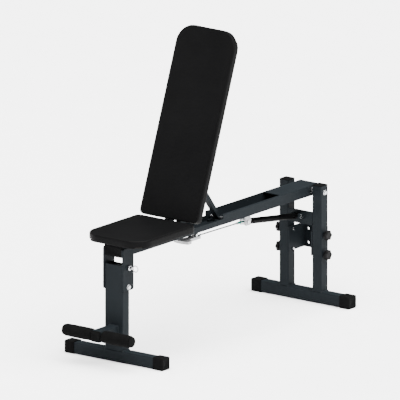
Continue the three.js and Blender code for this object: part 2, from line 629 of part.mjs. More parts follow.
crossbar('front_crossbar', 0);
frontPost();
footHold();
mainBeam();
racks();
seat();
backrest();
strut();
crossbar('rear_crossbar', WHEELBASE);
rearStand();
springCrossPlate();
accessoryBracket();
clampKnobs();
gasSpring();
springFrontBracket();
releaseLever();
releaseCable();

export default bench;
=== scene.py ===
# %% [markdown]
# # An adjustable weight bench
# The steel frame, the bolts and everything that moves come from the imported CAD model. This lesson
# adds what CAD leaves plain: the upholstered pads, the foam rollers, the moulded caps and knobs, the
# welds and small fixings, and a finish for every surface. All lengths are metres.

import json
import math

import bmesh
import bpy
import numpy as np
from mathutils import Matrix, Vector


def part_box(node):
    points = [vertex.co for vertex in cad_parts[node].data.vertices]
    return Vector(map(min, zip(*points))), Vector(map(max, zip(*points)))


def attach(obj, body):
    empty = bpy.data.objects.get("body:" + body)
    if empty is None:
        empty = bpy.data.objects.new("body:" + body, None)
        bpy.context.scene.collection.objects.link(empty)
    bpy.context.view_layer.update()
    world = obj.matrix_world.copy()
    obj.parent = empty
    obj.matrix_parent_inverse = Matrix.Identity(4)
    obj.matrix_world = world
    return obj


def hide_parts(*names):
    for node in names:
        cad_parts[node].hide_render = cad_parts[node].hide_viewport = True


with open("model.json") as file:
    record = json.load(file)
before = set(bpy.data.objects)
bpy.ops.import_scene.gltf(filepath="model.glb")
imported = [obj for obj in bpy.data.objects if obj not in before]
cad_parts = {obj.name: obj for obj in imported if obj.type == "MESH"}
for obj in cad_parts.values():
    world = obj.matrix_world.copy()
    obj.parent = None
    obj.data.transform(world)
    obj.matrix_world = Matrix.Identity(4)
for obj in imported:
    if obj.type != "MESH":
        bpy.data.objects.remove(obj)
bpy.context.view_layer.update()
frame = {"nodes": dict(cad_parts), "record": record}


# %% [markdown]
# Positions are never typed twice. The corners and the middle of any CAD node can be asked for, so a
# new cap or knob goes exactly where its plain solid stands. The backrest and the gas spring lean; their
# pieces are made straight and leaned as arrays of points.

# %% Where things are
def span(node):
    """The lowest corner, the highest corner and the middle of a CAD node, as arrays."""
    low, high = (np.array(corner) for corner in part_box(node))
    return low, high, (low + high) / 2


def points_of(mesh, what="co"):
    """All points of a mesh, or all their normals, as an array of rows."""
    values = np.zeros(len(mesh.vertices) * 3)
    mesh.vertices.foreach_get(what, values)
    return values.reshape(-1, 3)


def set_points(mesh, points):
    """Puts an array of rows back as the mesh's points."""
    mesh.vertices.foreach_set("co", np.asarray(points).ravel())
    mesh.update()


def node_points(node):
    """The points of a CAD node in the shared frame."""
    piece = frame["nodes"][node]
    turn = np.array(piece.matrix_world)
    return points_of(piece.data) @ turn[:3, :3].T + turn[:3, 3]


def leaned(points, angle, origin):
    """Turns points about the X axis by an angle, then moves their origin to the given point."""
    x, y, z = np.moveaxis(np.asarray(points, float), -1, 0)
    c, s = math.cos(angle), math.sin(angle)
    return np.stack([x, c * y - s * z, s * y + c * z], axis=-1) + origin


def joint(name):
    """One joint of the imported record."""
    return next(j for j in frame["record"]["behaviour"]["joints"] if j["name"] == name)


PIVOT = np.array(joint("backrest_recline")["pos_m"])
BACK_ANGLE = math.radians(70)
print("backrest pivot", PIVOT)


# %% [markdown]
# ## The camera
# The bench is shown in a parallel view, in which its crossbars have the same slope near and far. An
# orthographic camera gives that, and it only needs a direction, a centre and a width. A long lens
# far away would come close, but never quite lose the perspective.

# %% Camera
AZIMUTH, ELEVATION = math.radians(37.7), math.radians(14.8)
VIEW_CENTRE = np.array([0.142, -0.214, 0.545])
VIEW_WIDTH = 1.4035
CAMERA_DISTANCE = 6.0

camera_data = bpy.data.cameras.new("view")
camera_data.type = "ORTHO"
camera_data.ortho_scale = VIEW_WIDTH
camera = bpy.data.objects.new("view", camera_data)
bpy.context.collection.objects.link(camera)
toward_camera = np.array([
    math.sin(AZIMUTH) * math.cos(ELEVATION),
    -math.cos(AZIMUTH) * math.cos(ELEVATION),
    math.sin(ELEVATION),
])
camera.location = VIEW_CENTRE + toward_camera * CAMERA_DISTANCE
camera.rotation_euler = (math.pi / 2 - ELEVATION, 0, AZIMUTH)
bpy.context.scene.camera = camera
print("camera at", [round(v, 2) for v in camera.location])


# %% [markdown]
# ## From arrays to meshes
# Every new surface is a grid of points. One helper turns a grid into faces, welds the points that
# fall together at poles and seams, and turns the faces outwards. Writing it once keeps each piece's
# own cell about its shape only.

# %% Grid to mesh
SAME_POINT, NO_LENGTH = 1e-6, 1e-7
SHARP_EDGE = math.radians(40)


def add_mesh(name, points, faces, smooth=True):
    """A mesh object from an array of points and a list of faces, linked to the scene."""
    mesh = bpy.data.meshes.new(name)
    mesh.from_pydata(np.asarray(points).tolist(), [], np.asarray(faces).tolist())
    work = bmesh.new()
    work.from_mesh(mesh)
    bmesh.ops.remove_doubles(work, verts=work.verts, dist=SAME_POINT)
    bmesh.ops.dissolve_degenerate(work, edges=work.edges, dist=NO_LENGTH)
    bmesh.ops.recalc_face_normals(work, faces=work.faces)
    work.to_mesh(mesh)
    work.free()
    if smooth:
        mesh.shade_smooth()
        mesh.set_sharp_from_angle(angle=SHARP_EDGE)
    piece = bpy.data.objects.new(name, mesh)
    bpy.context.collection.objects.link(piece)
    return piece


def grid_faces(rows, columns, wrap_rows=False):
    """Quads of a grid whose columns always close on themselves; its rows close if asked."""
    last = rows if wrap_rows else rows - 1
    i, j = np.meshgrid(np.arange(last), np.arange(columns), indexing="ij")
    after_i, after_j = (i + 1) % rows, (j + 1) % columns
    corners = [i * columns + j, after_i * columns + j, after_i * columns + after_j, i * columns + after_j]
    return np.stack(corners, axis=-1).reshape(-1, 4)


def several(name, grids, wrap_rows=False):
    """One mesh of many separate grids of the same shape: (count, rows, columns, 3)."""
    grids = np.asarray(grids)
    count, rows, columns, _ = grids.shape
    faces = grid_faces(rows, columns, wrap_rows)
    offsets = np.arange(count)[:, None, None] * rows * columns
    return add_mesh(name, grids.reshape(-1, 3), (faces[None] + offsets).reshape(-1, 4))


# %% [markdown]
# Turned parts, such as rollers, bolts and the gas spring, are profiles carried round an axis. The
# profile starts and ends on the axis, so the surface closes at both poles.

# %% Turned surfaces
AXES = {"x": (0, 1, 2), "y": (1, 2, 0), "z": (2, 0, 1)}


def turned_grid(profile, axis, centre, sides=48, lobes=0, lobe_depth=0.0):
    """Carries (radius, along) pairs round an axis. Lobes wave the radius by a cosine of the angle."""
    radius, along = np.asarray(profile, float).T
    angle = np.linspace(0, 2 * np.pi, sides, endpoint=False)
    wave = lobe_depth * (np.cos(lobes * angle) - 1) if lobes else np.zeros(sides)
    outer = np.clip(radius / max(radius.max(), 1e-9), 0, 1)
    reach = radius[:, None] + outer[:, None] * wave[None]
    points = np.zeros((len(radius), sides, 3))
    main, first, second = AXES[axis]
    points[..., main] = along[:, None]
    points[..., first] = reach * np.cos(angle)
    points[..., second] = reach * np.sin(angle)
    return points + np.asarray(centre, float)


def turned(name, profile, axis, centre, **shape):
    """A closed turned piece."""
    points = turned_grid(profile, axis, centre, **shape)
    return several(name, points[None])


def quarter_rim(radius, low, fillet, steps):
    """A quarter circle from a flat end, out and up to the full radius."""
    turn = np.linspace(0, np.pi / 2, steps)
    return np.stack([radius - fillet + fillet * np.sin(turn), low + fillet - fillet * np.cos(turn)], axis=1)


def between_ends(rim, low, high, side=()):
    """A profile from the axis over one rim, along the side and over the mirrored rim, to the axis."""
    mirrored = np.column_stack([rim[::-1, 0], low + high - rim[::-1, 1]])
    return np.array([(0, low), *rim, *side, *mirrored, (0, high)])


def rounded(radius, low, high, fillet, steps=6):
    """The profile of a cylinder whose two rims are rounded by quarter circles."""
    return between_ends(quarter_rim(radius, low, fillet, steps), low, high)


# %% [markdown]
# A cable, a weld or a ring is a round section carried along a path. The section stands square to
# the path: one side points away from a fixed direction, the other is their cross product.

# %% Swept surfaces
def tube_grid(path, radius, sides=12, closed=False, reference=(0.21, 0.13, 0.97)):
    """Circles of the given radius, one number or one for each point, square to the path's direction."""
    path = np.asarray(path, float)
    if closed:
        ahead = np.roll(path, -1, axis=0) - np.roll(path, 1, axis=0)
    else:
        ahead = np.gradient(path, axis=0)
    ahead /= np.linalg.norm(ahead, axis=1)[:, None]
    side = np.cross(ahead, reference)
    side /= np.linalg.norm(side, axis=1)[:, None]
    up = np.cross(side, ahead)
    angle = np.linspace(0, 2 * np.pi, sides, endpoint=False)
    radius = np.broadcast_to(np.asarray(radius, float), (len(path),))
    wheel = side[:, None] * np.cos(angle)[None, :, None] + up[:, None] * np.sin(angle)[None, :, None]
    return path[:, None] + wheel * radius[:, None, None]


def closed_ends(points):
    """Adds a collapsed ring at each end of an open tube, so that it has no hole."""
    ends = [np.repeat(points[i].mean(axis=0)[None], points.shape[1], axis=0) for i in (0, -1)]
    return np.concatenate([ends[0][None], points, ends[1][None]])


# %% [markdown]
# ## Finishes
# Each finish is a small node tree that reads Object coordinates, so it stays still while the bench
# moves. One builder lays down what nearly all finishes share: a slight drift of colour, a drift of
# roughness and a fine bump. The pieces that need more, such as grained vinyl, add their own nodes.

# %% The shared finish
def add_node(tree, kind, **values):
    """A node whose sockets or settings are set by name."""
    node = tree.nodes.new(kind)
    for key, value in values.items():
        if key in node.inputs:
            node.inputs[key].default_value = value
        else:
            setattr(node, key, value)
    return node


def finish(name, dark, light, roughness, scale, bump, depth, metallic=0.0, drift=9.0, edge=0.0, stretch=None,
           shine=0.1):
    """Noise mixes two colours and two roughnesses; finer noise raises a bump of the given depth."""
    material = bpy.data.materials.new(name)
    material.use_nodes = True
    tree = material.node_tree
    shader = tree.nodes["Principled BSDF"]
    shader.inputs["Metallic"].default_value = metallic
    shader.inputs["Specular IOR Level"].default_value = shine
    place = add_node(tree, "ShaderNodeTexCoord").outputs["Object"]
    if stretch is not None:
        mapping = add_node(tree, "ShaderNodeMapping", Scale=stretch)
        tree.links.new(place, mapping.inputs["Vector"])
        place = mapping.outputs["Vector"]
    broad = add_node(tree, "ShaderNodeTexNoise", Scale=drift, Detail=4.0, Roughness=0.6)
    fine = add_node(tree, "ShaderNodeTexNoise", Scale=scale, Detail=3.0, Roughness=0.55)
    tree.links.new(place, broad.inputs["Vector"])
    tree.links.new(place, fine.inputs["Vector"])
    colour = add_node(tree, "ShaderNodeValToRGB")
    colour.color_ramp.elements[0].position, colour.color_ramp.elements[1].position = 0.3, 0.7
    colour.color_ramp.elements[0].color = (*dark, 1)
    colour.color_ramp.elements[1].color = (*light, 1)
    tree.links.new(broad.outputs["Fac"], colour.inputs["Fac"])
    tree.links.new(colour.outputs["Color"], shader.inputs["Base Color"])
    gloss = add_node(tree, "ShaderNodeMapRange")
    gloss.inputs["To Min"].default_value, gloss.inputs["To Max"].default_value = roughness
    tree.links.new(broad.outputs["Fac"], gloss.inputs["Value"])
    tree.links.new(gloss.outputs["Result"], shader.inputs["Roughness"])
    relief = add_node(tree, "ShaderNodeBump", Strength=bump, Distance=depth)
    tree.links.new(fine.outputs["Fac"], relief.inputs["Height"])
    if edge:
        soft = add_node(tree, "ShaderNodeBevel", Radius=edge, samples=4)
        tree.links.new(soft.outputs["Normal"], relief.inputs["Normal"])
    tree.links.new(relief.outputs["Normal"], shader.inputs["Normal"])
    return material, tree, shader, relief, place


# %% [markdown]
# The frame is powder coated: a satin dark blue-grey with the faint orange peel of baked powder. The
# bevel node softens the light along cut edges, where thick paint always rounds over.

# %% Painted steel
powder, *_ = finish("powder_coat", (0.0054, 0.0068, 0.0080), (0.0068, 0.0086, 0.0100),
                    (0.36, 0.5), 620, 0.22, 0.0006, edge=0.0012, shine=0.022)
weld_paint, *_ = finish("weld_paint", (0.0062, 0.0079, 0.0092), (0.0082, 0.0102, 0.0118),
                        (0.4, 0.55), 900, 0.3, 0.0004, shine=0.05)
spring_paint, *_ = finish("gloss_black", (0.0010, 0.0010, 0.0011), (0.0016, 0.0016, 0.0017),
                          (0.28, 0.36), 350, 0.06, 0.0003, edge=0.0006, shine=0.015)


# %% [markdown]
# Bright parts are zinc plated. Their noise is stretched along the bench, which leaves the soft
# streaks of drawn and stamped steel; a little blue in the light tone gives the look of fresh zinc.
# The pressed lever and bracket are duller, so they get a satin zinc that is only part metal. The
# plastics and the rubber differ in gloss and in how coarse their moulded skin is.

# %% Bare metal and plastics
satin, *_ = finish("satin_zinc", (0.26, 0.26, 0.265), (0.35, 0.35, 0.355), (0.4, 0.55), 500, 0.15, 0.0003,
                   metallic=0.35, drift=25, edge=0.0008, shine=0.3)
zinc, *_ = finish("zinc_plate", (0.36, 0.365, 0.375), (0.52, 0.525, 0.535), (0.2, 0.34), 260, 0.12, 0.0003,
                  metallic=1.0, drift=30, edge=0.0006, stretch=(1, 0.3, 1), shine=0.5)
rubber, *_ = finish("moulded_rubber", (0.0018, 0.0018, 0.0019), (0.0027, 0.0027, 0.0028), (0.55, 0.72), 1400,
                    0.3, 0.0003, edge=0.0015, shine=0.015)
knob_plastic, *_ = finish("knob_plastic", (0.0022, 0.0022, 0.0024), (0.0034, 0.0034, 0.0036), (0.34, 0.46),
                          1900, 0.35, 0.0002, edge=0.0005, shine=0.05)
cable_jacket, *_ = finish("cable_jacket", (0.0050, 0.0050, 0.0055), (0.0075, 0.0075, 0.0080),
                          (0.42, 0.55), 900, 0.2, 0.0002)
green_plastic, *_ = finish("green_plastic", (0.004, 0.060, 0.050), (0.006, 0.085, 0.070), (0.35, 0.45), 700,
                           0.1, 0.0002)


# %% [markdown]
# The boards under the pads are plywood stained black. Long stretched noise is the grain; it runs
# along the pad.

# %% Stained board
board, *_ = finish("stained_board", (0.0042, 0.0036, 0.0030), (0.0090, 0.0076, 0.0062), (0.5, 0.7), 90, 0.25,
                   0.0006, drift=20, stretch=(14, 1, 1))


# %% [markdown]
# The foam of the rollers is closed-cell rubber: nearly no gloss, and a skin full of tiny pits. A
# Voronoi pattern makes the cells; it is added to the fine noise of the shared finish.

# %% Foam and vinyl
foam, tree, shader, relief, place = finish("roller_foam", (0.0016, 0.0016, 0.0016), (0.0026, 0.0026, 0.0026),
                                           (0.82, 0.95), 800, 0.35, 0.0005, drift=40, shine=0.02)
cells = add_node(tree, "ShaderNodeTexVoronoi", Scale=420.0)
tree.links.new(place, cells.inputs["Vector"])
pits = add_node(tree, "ShaderNodeBump", Strength=0.5, Distance=0.0006)
tree.links.new(cells.outputs["Distance"], pits.inputs["Height"])
tree.links.new(relief.outputs["Normal"], pits.inputs["Normal"])
tree.links.new(pits.outputs["Normal"], shader.inputs["Normal"])

# The vinyl has an embossed leather grain: irregular pebbles with valleys between them.
vinyl, tree, shader, relief, place = finish("vinyl", (0.0017, 0.0017, 0.0018), (0.0024, 0.0024, 0.0025),
                                            (0.42, 0.54), 1500, 0.12, 0.0002, drift=6, shine=0.025)
pebbles = add_node(tree, "ShaderNodeTexVoronoi", Scale=310.0, feature="DISTANCE_TO_EDGE")
bend = add_node(tree, "ShaderNodeTexNoise", Scale=130.0, Detail=2.0)
# The mix node's vector sockets are asked for by number, because all its types share their names.
mixed = add_node(tree, "ShaderNodeMix", data_type="VECTOR")
mixed.inputs["Factor"].default_value = 0.012
tree.links.new(place, bend.inputs["Vector"])
tree.links.new(place, mixed.inputs[4])
tree.links.new(bend.outputs["Color"], mixed.inputs[5])
tree.links.new(mixed.outputs[1], pebbles.inputs["Vector"])
grain = add_node(tree, "ShaderNodeBump", Strength=0.3, Distance=0.0004)
tree.links.new(pebbles.outputs["Distance"], grain.inputs["Height"])
tree.links.new(relief.outputs["Normal"], grain.inputs["Normal"])
tree.links.new(grain.outputs["Normal"], shader.inputs["Normal"])
print("finishes", len(bpy.data.materials))


# %% [markdown]
# ## Giving the CAD nodes their finish
# Each CAD node names a material slot in the record. Finishes go on by slot, so a node that is
# renamed or added still gets the right one.

# %% Paint the frame
BY_SLOT = {
    "powder_coat": powder, "black_rubber": rubber, "cable_jacket": cable_jacket, "vinyl": vinyl,
    "knob_plastic": knob_plastic, "foam": foam, "plywood": board, "zinc_steel": zinc,
    "spring_black": spring_paint, "green_plastic": green_plastic,
}
for entry in frame["record"]["subparts"]:
    node = frame["nodes"][entry["node"]]
    node.data.materials.clear()
    node.data.materials.append(BY_SLOT[entry["material_slot"]])
frame["nodes"]["release_lever"].data.materials[0] = satin
frame["nodes"]["spring_front_bracket"].data.materials[0] = satin


def settle(piece, body, slot, material, *nodes):
    """Puts a finished piece on its body, paints it, and hides the nodes it stands for. The slot argument is
    not used.
    """
    piece.data.materials.clear()
    piece.data.materials.append(material)
    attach(piece, body)
    if nodes:
        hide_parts(*nodes)
    print(piece.name, len(piece.data.polygons), "faces")
    return piece


# %% [markdown]
# ## The upholstered pads
# A bench pad is firm foam on a board, with vinyl pulled over it and stapled underneath. Its top is
# nearly flat and its rim is round. It could be modelled by hand, but letting cloth swell over a
# remeshed block gives the small unevenness of a stretched cover for nothing. The underside is then
# pressed flat again and sunk around the board.

# %% Pad outlines
PAD_WIDTH, PAD_THICK = 0.258, 0.027
CORNER_LARGE, CORNER_SMALL = 0.068, 0.018
ARC_STEPS = 14
PAD_RIM = 0.004
SPARE_UNDER, SPARE_TOP = 0.003, 0.002
CORNER_SIGNS = np.array([(-1, -1), (1, -1), (1, 1), (-1, 1)])
CORNER_STARTS = np.array([1.0, 1.5, 0.0, 0.5])


def round_cornered(half_a, half_b, radii, steps):
    """A rectangle with quarter-circle corners: each arc's centre plus its radius times (cos, sin)."""
    radii = np.broadcast_to(radii, 4)[:, None]
    turn = (CORNER_STARTS[:, None] + np.linspace(0, 0.5, steps)) * np.pi
    a = CORNER_SIGNS[:, :1] * (half_a - radii) + radii * np.cos(turn)
    b = CORNER_SIGNS[:, 1:] * (half_b - radii) + radii * np.sin(turn)
    return np.stack([a, b], axis=-1).reshape(-1, 2)


def pad_outline(y0, y1, inset, large_first, steps=ARC_STEPS):
    """The pad's edge, counter-clockwise; the two corners at one end have the larger radius."""
    radii = np.array([CORNER_LARGE, CORNER_LARGE, CORNER_SMALL, CORNER_SMALL]) - inset
    if not large_first:
        radii = radii[::-1]
    line = round_cornered(PAD_WIDTH / 2 - inset, (y1 - y0) / 2 - inset, radii, steps)
    return line + [0, (y0 + y1) / 2]


def pad_block(name, y0, y1, z0, large_first):
    """Outlines stacked from below the underside to the top; the insets round the upper rim."""
    turn = np.linspace(0, np.pi / 2, 5)
    tall = PAD_THICK + SPARE_TOP
    heights = z0 + np.array([-SPARE_UNDER, *(tall - PAD_RIM * (1 - np.sin(turn)))])
    insets = [0.0, *(PAD_RIM * (1 - np.cos(turn)))]
    rings = np.zeros((len(insets), 4 * ARC_STEPS, 3))
    rings[..., :2] = [pad_outline(y0, y1, inset, large_first) for inset in insets]
    rings[..., 2] = heights[:, None]
    ends = np.zeros((2, 4 * ARC_STEPS, 3))
    ends[..., 1] = (y0 + y1) / 2
    ends[..., 2] = heights[[0, -1], None]
    return several(name, np.concatenate([ends[:1], rings, ends[1:]])[None])


# %% [markdown]
# The swelling runs for twenty frames with a little pressure and no gravity. Cloth also creeps along
# its own surface and pulls corners in, so only the outward part of each point's travel is kept, and
# that part is capped.

# %% Swell a pad
VOXEL = 0.005
PRESSURE = 4.0
SWELL_FRAMES = 20
MOST_SWELL = 0.0025


def swell(piece):
    """Remeshes, inflates as cloth, keeps the capped outward travel and adds one subdivision."""
    bpy.context.view_layer.objects.active = piece
    remesh = piece.modifiers.new("remesh", "REMESH")
    remesh.mode = "VOXEL"
    remesh.voxel_size = VOXEL
    bpy.ops.object.modifier_apply(modifier="remesh")
    before, outward = points_of(piece.data), points_of(piece.data, "normal")
    cloth = piece.modifiers.new("cloth", "CLOTH")
    cloth.settings.use_pressure = True
    cloth.settings.uniform_pressure_force = PRESSURE
    cloth.settings.effector_weights.gravity = 0
    cloth.settings.quality = 4
    for step in range(1, SWELL_FRAMES + 1):
        bpy.context.scene.frame_set(step)
    bpy.ops.object.modifier_apply(modifier="cloth")
    bpy.context.scene.frame_set(1)
    travel = np.sum((points_of(piece.data) - before) * outward, axis=1)
    set_points(piece.data, before + outward * np.clip(travel, 0, MOST_SWELL)[:, None])
    subdivide = piece.modifiers.new("subdivide", "SUBSURF")
    subdivide.levels = subdivide.render_levels = 1
    bpy.ops.object.modifier_apply(modifier="subdivide")
    piece.data.shade_smooth()
    return float(travel.max())


# %% [markdown]
# A swollen pad is a little off its size, and its underside bulges too. A lattice or a shrinkwrap could
# pull it in; two rules on the points do it exactly. The outline is scaled to that of the plain solid
# and the crown is eased down to its height. Then the underside is pressed flat and sunk for the board.

# %% Fit and press a pad
CROWN_EASE = 0.002
BOARD_INSET = 0.012
BOARD_DEPTH = 0.009
UNDERSIDE_BAND = 0.004


def fit_box(piece, low, high):
    """Scales a mesh's outline to the box; heights near the box's top are eased by a tangent curve."""
    points = points_of(piece.data)
    least, most = points.min(axis=0)[:2], points.max(axis=0)[:2]
    points[:, :2] = low[:2] + (points[:, :2] - least) / (most - least) * (high - low)[:2]
    eased = high[2] - CROWN_EASE
    over = np.maximum(points[:, 2] - eased, 0)
    points[:, 2] = np.minimum(points[:, 2], eased) + CROWN_EASE * np.tanh(over / CROWN_EASE)
    set_points(piece.data, points)


def press_underside(piece, y0, y1, z0):
    """Flattens what swelled below the pad's underside and sinks the part that the board fills."""
    points = points_of(piece.data)
    points[:, 2] = np.maximum(points[:, 2], z0)
    low = points[:, 2] < z0 + UNDERSIDE_BAND
    inside_x = np.abs(points[:, 0]) < PAD_WIDTH / 2 - BOARD_INSET
    inside_y = (points[:, 1] > y0 + BOARD_INSET) & (points[:, 1] < y1 - BOARD_INSET)
    points[low & inside_x & inside_y, 2] = z0 + BOARD_DEPTH
    set_points(piece.data, points)


# %% [markdown]
# The backrest is made lying flat round its pivot and then turned up as a mesh, so its own object
# stays at the origin as every other piece's does.

# %% Seat and backrest
def turned_up(points):
    """Turns points modelled flat, with the pivot at the origin, to the backrest's resting angle."""
    return leaned(points, BACK_ANGLE, PIVOT)


def laid_flat(node):
    """The lowest and highest corner of a CAD node of the backrest, once it is turned back to flat."""
    flat = leaned(node_points(node) - PIVOT, -BACK_ANGLE, 0)
    return flat.min(axis=0), flat.max(axis=0)


seat_low, seat_high, _ = span("seat_cushion")
SEAT_Y = (seat_low[1], seat_high[1])
seat_pad = pad_block("seat_pad", *SEAT_Y, seat_low[2], True)
print("seat swelled", swell(seat_pad))
fit_box(seat_pad, seat_low, seat_high)
press_underside(seat_pad, *SEAT_Y, seat_low[2])
settle(seat_pad, "frame", "vinyl", vinyl, "seat_cushion")

back_low, back_high = laid_flat("back_cushion")
BACK_Y, BACK_UNDER = (back_low[1], back_high[1]), back_low[2]
back_pad = pad_block("back_pad", *BACK_Y, BACK_UNDER, False)
print("back swelled", swell(back_pad))
fit_box(back_pad, back_low, back_high)
press_underside(back_pad, *BACK_Y, BACK_UNDER)
set_points(back_pad.data, turned_up(points_of(back_pad.data)))
settle(back_pad, "backrest", "vinyl", vinyl, "back_cushion")


# %% [markdown]
# Staples hold the vinyl's edge to the board. Each is a flat bar of eight corners, placed along the
# outline a little inside the rim; one mesh holds them all, because none of them ever moves alone.

# %% Staples
STAPLE_INSET, STAPLE_PITCH = 0.016, 0.024
STAPLE_HALF, WIRE_HALF = 0.0055, 0.0006
STAPLE_SUNK, STAPLE_PROUD = 0.001, 0.0006
PROBE = 0.001


def staples(name, y0, y1, z, large_first):
    """Small flat bars along the outline at even steps of its length."""
    line = pad_outline(y0, y1, STAPLE_INSET, large_first, steps=24)
    line = np.concatenate([line, line[:1]])
    run = np.concatenate([[0], np.cumsum(np.linalg.norm(np.diff(line, axis=0), axis=1))])
    at = np.arange(0, run[-1], STAPLE_PITCH)
    here, next_to = (np.stack([np.interp(d, run, line[:, i]) for i in (0, 1)], 1) for d in (at, at + PROBE))
    ahead = next_to - here
    ahead /= np.maximum(np.linalg.norm(ahead, axis=1), 1e-9)[:, None]
    across = np.stack([-ahead[:, 1], ahead[:, 0]], 1)
    corners = CORNER_SIGNS * (STAPLE_HALF, WIRE_HALF)
    flat = corners[None, :, :1] * ahead[:, None] + corners[None, :, 1:] * across[:, None] + here[:, None]
    middle = np.repeat(flat.mean(axis=1, keepdims=True), 4, axis=1)
    top, bottom = z + STAPLE_SUNK, z - STAPLE_PROUD
    layers = [(middle, top), (flat, top), (flat, bottom), (middle, bottom)]
    grids = np.stack([np.concatenate([p, np.full((*p.shape[:2], 1), h)], axis=2) for p, h in layers], axis=1)
    return several(name, grids)


seat_staples = staples("seat_staples", *SEAT_Y, seat_low[2], True)
settle(seat_staples, "frame", "zinc_steel", zinc)
back_staples = staples("back_staples", *BACK_Y, BACK_UNDER, False)
set_points(back_staples.data, turned_up(points_of(back_staples.data)))
settle(back_staples, "backrest", "zinc_steel", zinc)


# %% [markdown]
# ## Foam rollers
# A foam roller is a thick sleeve whose ends bulge softly. The profile runs out from the axle along
# one end, over the round shoulder, along the length with a very slight belly, and back. A bevelled
# cylinder would do from afar, but its side would be dead straight, which foam never is.

# %% Rollers and their end discs
SHOULDER, BELLY = 0.008, 0.0006
DISC_RADIUS, DISC_ROUND = 0.019, 0.0016


def roller_profile(radius, low, high):
    """A rounded cylinder whose radius swells along its length by a small sine wave."""
    u = np.linspace(0.05, 0.95, 19)
    straight = high - low - 2 * SHOULDER
    belly = np.stack([radius + BELLY * np.sin(np.pi * u), low + SHOULDER + u * straight], axis=1)
    return between_ends(quarter_rim(radius, low, SHOULDER, 8), low, high, belly)


for side in ("left", "right"):
    low, high, middle = span(f"foam_roller_{side}")
    centre = (0, middle[1], middle[2])
    profile = roller_profile((high[2] - low[2]) / 2, low[0], high[0])
    roller = turned(f"roller_{side}", profile, "x", centre, sides=72)
    settle(roller, f"roller_{side}", "foam", foam, f"foam_roller_{side}")
    low, high, _ = span(f"roller_disc_{side}")
    profile = rounded(DISC_RADIUS, low[0], high[0], DISC_ROUND)
    disc = turned(f"end_disc_{side}", profile, "x", centre, sides=64)
    settle(disc, "frame", "black_rubber", rubber, f"roller_disc_{side}")


# %% [markdown]
# ## Moulded caps
# The rubber boots on the crossbars and the caps on the posts are square with round corners. Their
# surface is one rounded square carried along a path of insets: over the mouth's lip, along the side,
# round the rim and in to the middle of the closed end. A box with a Bevel modifier would round every
# edge alike; levels allow a small lip at one end and a larger rim at the other.

# %% Square caps
SHARPEST = 0.0015
BOOT_CORNER, LID_CORNER = 0.006, 0.004
BOOT_WALL, BOOT_RIM = 0.0029, 0.004


def cap(name, axis, centre, half_a, half_b, levels, corner):
    """Stacks shrunken copies of a rounded square at (along, inset) levels; both ends close."""
    main, first, second = AXES[axis]
    along, insets = np.array(levels).T
    rings = [round_cornered(half_a - inset, half_b - inset, max(corner - inset, SHARPEST), 8)
             for inset in insets]
    grid = np.zeros((len(insets), len(rings[0]), 3))
    grid[..., main] = along[:, None]
    grid[..., [first, second]] = rings
    return several(name, (closed_ends(grid) + np.asarray(centre, float))[None])


def boot_levels(mouth, end):
    """From the mouth's inner edge over a raised lip, along the side and round the closed end."""
    way = math.copysign(1, end - mouth)
    turn = np.linspace(0, np.pi / 2, 6)
    lip = [(0, BOOT_WALL), (0, 0.0006), (0.0006, 0), (0.005, 0), (0.0056, 0.0007), (0.007, 0.0007),
           (0.0078, 0)]
    rim = np.stack([-BOOT_RIM * (1 - np.sin(turn)), BOOT_RIM * (1 - np.cos(turn))], axis=1)
    dish = [(0, 0.010), (-0.0012, 0.0115)]
    from_mouth = np.array(lip) * (way, 1) + (mouth, 0)
    from_end = np.array([*rim, *dish]) * (way, 1) + (end, 0)
    return np.concatenate([from_mouth, from_end])


# %% [markdown]
# A boot is pushed over each end of both crossbars, and the bench stands on the four of them. The
# closed end faces outwards on both sides, so the same levels are carried the other way on the left.

# %% Boots on the crossbars
for bar in ("front", "rear"):
    body = "frame" if bar == "front" else "rear_stand"
    for side in ("left", "right"):
        node = f"{bar}_crossbar_cap_{side}"
        low, high, middle = span(node)
        mouth, end = (low[0], high[0]) if side == "right" else (high[0], low[0])
        half = (high[2] - low[2]) / 2
        levels = boot_levels(mouth, end)
        boot = cap(f"{bar}_boot_{side}", "x", (0, middle[1], middle[2]), half, half, levels, BOOT_CORNER)
        settle(boot, body, "black_rubber", rubber, node)


# %% [markdown]
# The rear posts are closed by low lids that are as wide as the tube. Only their edge shows, so most of
# the levels go into its curve.

# %% Lids on the posts
for side in ("left", "right"):
    low, high, middle = span(f"post_cap_{side}")
    top, half = high[2], (high[0] - low[0]) / 2
    levels = [(-0.004, 0), (-0.003, 0), (-0.0016, 0.0004), (-0.0007, 0.0016), (-0.0001, 0.004), (0, 0.008)]
    post_cap = cap(f"post_lid_{side}", "z", (middle[0], middle[1], top), half, half, levels, LID_CORNER)
    settle(post_cap, "rear_stand", "black_rubber", rubber, f"post_cap_{side}")


# %% [markdown]
# The beam and the foot arm end in flat plugs pressed into the tube. They are the same kind of cap,
# carried along the bench: a short straight side, a rounded rim and a shallow dish in the face.

# %% End plugs
def plug(name, node, inner, outer):
    """A flat end plug across a tube's mouth; its outer rim is rounded."""
    low, high, middle = span(node)
    way = math.copysign(1, outer - inner)
    levels = [(inner, 0.0), (outer - way * 0.0022, 0.0), (outer - way * 0.0008, 0.0006), (outer, 0.0026),
              (outer, 0.009), (outer - way * 0.001, 0.0105)]
    size = (high - low) / 2
    piece = cap(name, "y", (middle[0], 0, middle[2]), size[2], size[0], levels, LID_CORNER)
    settle(piece, "frame", "black_rubber", rubber, node)


for name, node in (("beam_plug", "beam_front_cap"), ("arm_plug", "foot_arm_cap")):
    low, high, _ = span(node)
    plug(name, node, high[1], low[1])


# %% [markdown]
# ## Clamp knobs
# Each knob is a six-lobed grip on a round boss. It is a turned shape whose radius waves with the
# angle; the wave fades towards the boss, which stays round. Lobes could be cut by booleans, but a wave
# leaves clean faces that shade smoothly.

# %% Star knobs
LOBES, LOBE_DEPTH = 6, 0.0017
STUD_RADIUS, STUD_LENGTH = 0.004, 0.051


